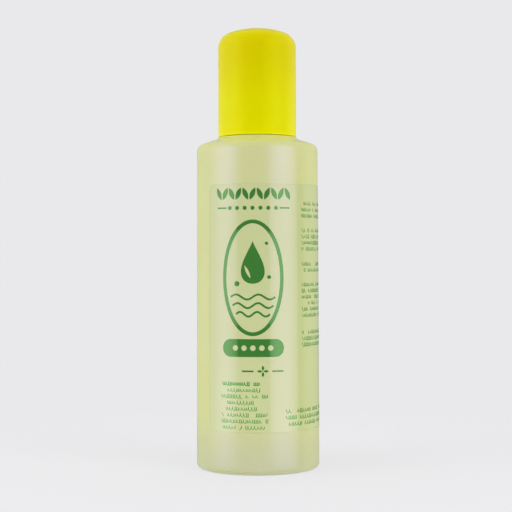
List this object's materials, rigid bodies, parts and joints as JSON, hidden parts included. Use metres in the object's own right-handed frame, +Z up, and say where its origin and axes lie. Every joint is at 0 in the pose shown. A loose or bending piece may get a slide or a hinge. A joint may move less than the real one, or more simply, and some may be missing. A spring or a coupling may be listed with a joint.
{
  "type": "nail polish remover bottle",
  "caption": "Translucent cylindrical bottle with a tall domed screw cap, a threaded insert and sealing wad inside it, a pouring plug and a clear wraparound label.",
  "frame": {"origin": "centre of the base, on the surface the bottle stands on", "axes": "+Z up along the bottle's axis; the printed front faces -Y"},
  "size_m": [0.0386, 0.0386, 0.1379],
  "materials": {
    "bottle_plastic": "satin translucent",
    "remover": "clear liquid",
    "plug_plastic": "satin",
    "cap_plastic": "gloss",
    "insert_plastic": "satin",
    "foam": "matte",
    "label_film": "clear gloss"
  },
  "bodies": {
    "bottle": {"bottle": "bottle_plastic", "liquid": "remover", "neck_plug": "plug_plastic", "label": "label_film"},
    "wad": {"cap_liner": "foam"},
    "cap": {"cap_shell": "cap_plastic", "cap_insert": "insert_plastic"}
  },
  "joints": [
    {"name": "cap_rise", "type": "slide", "parent": "bottle", "child": "wad", "axis": [0, 0, 1], "range_m": [0, 0.01747]},
    {"name": "cap_turn", "type": "hinge", "parent": "wad", "child": "cap", "pos_m": [0, 0, 0.1038], "axis": [0, 0, 1], "range_deg": [0, 1980]}
  ],
  "couplings": [
    {"joint": "cap_rise", "follows": "cap_turn", "m_per_rad": 0.00050532}
  ]
}
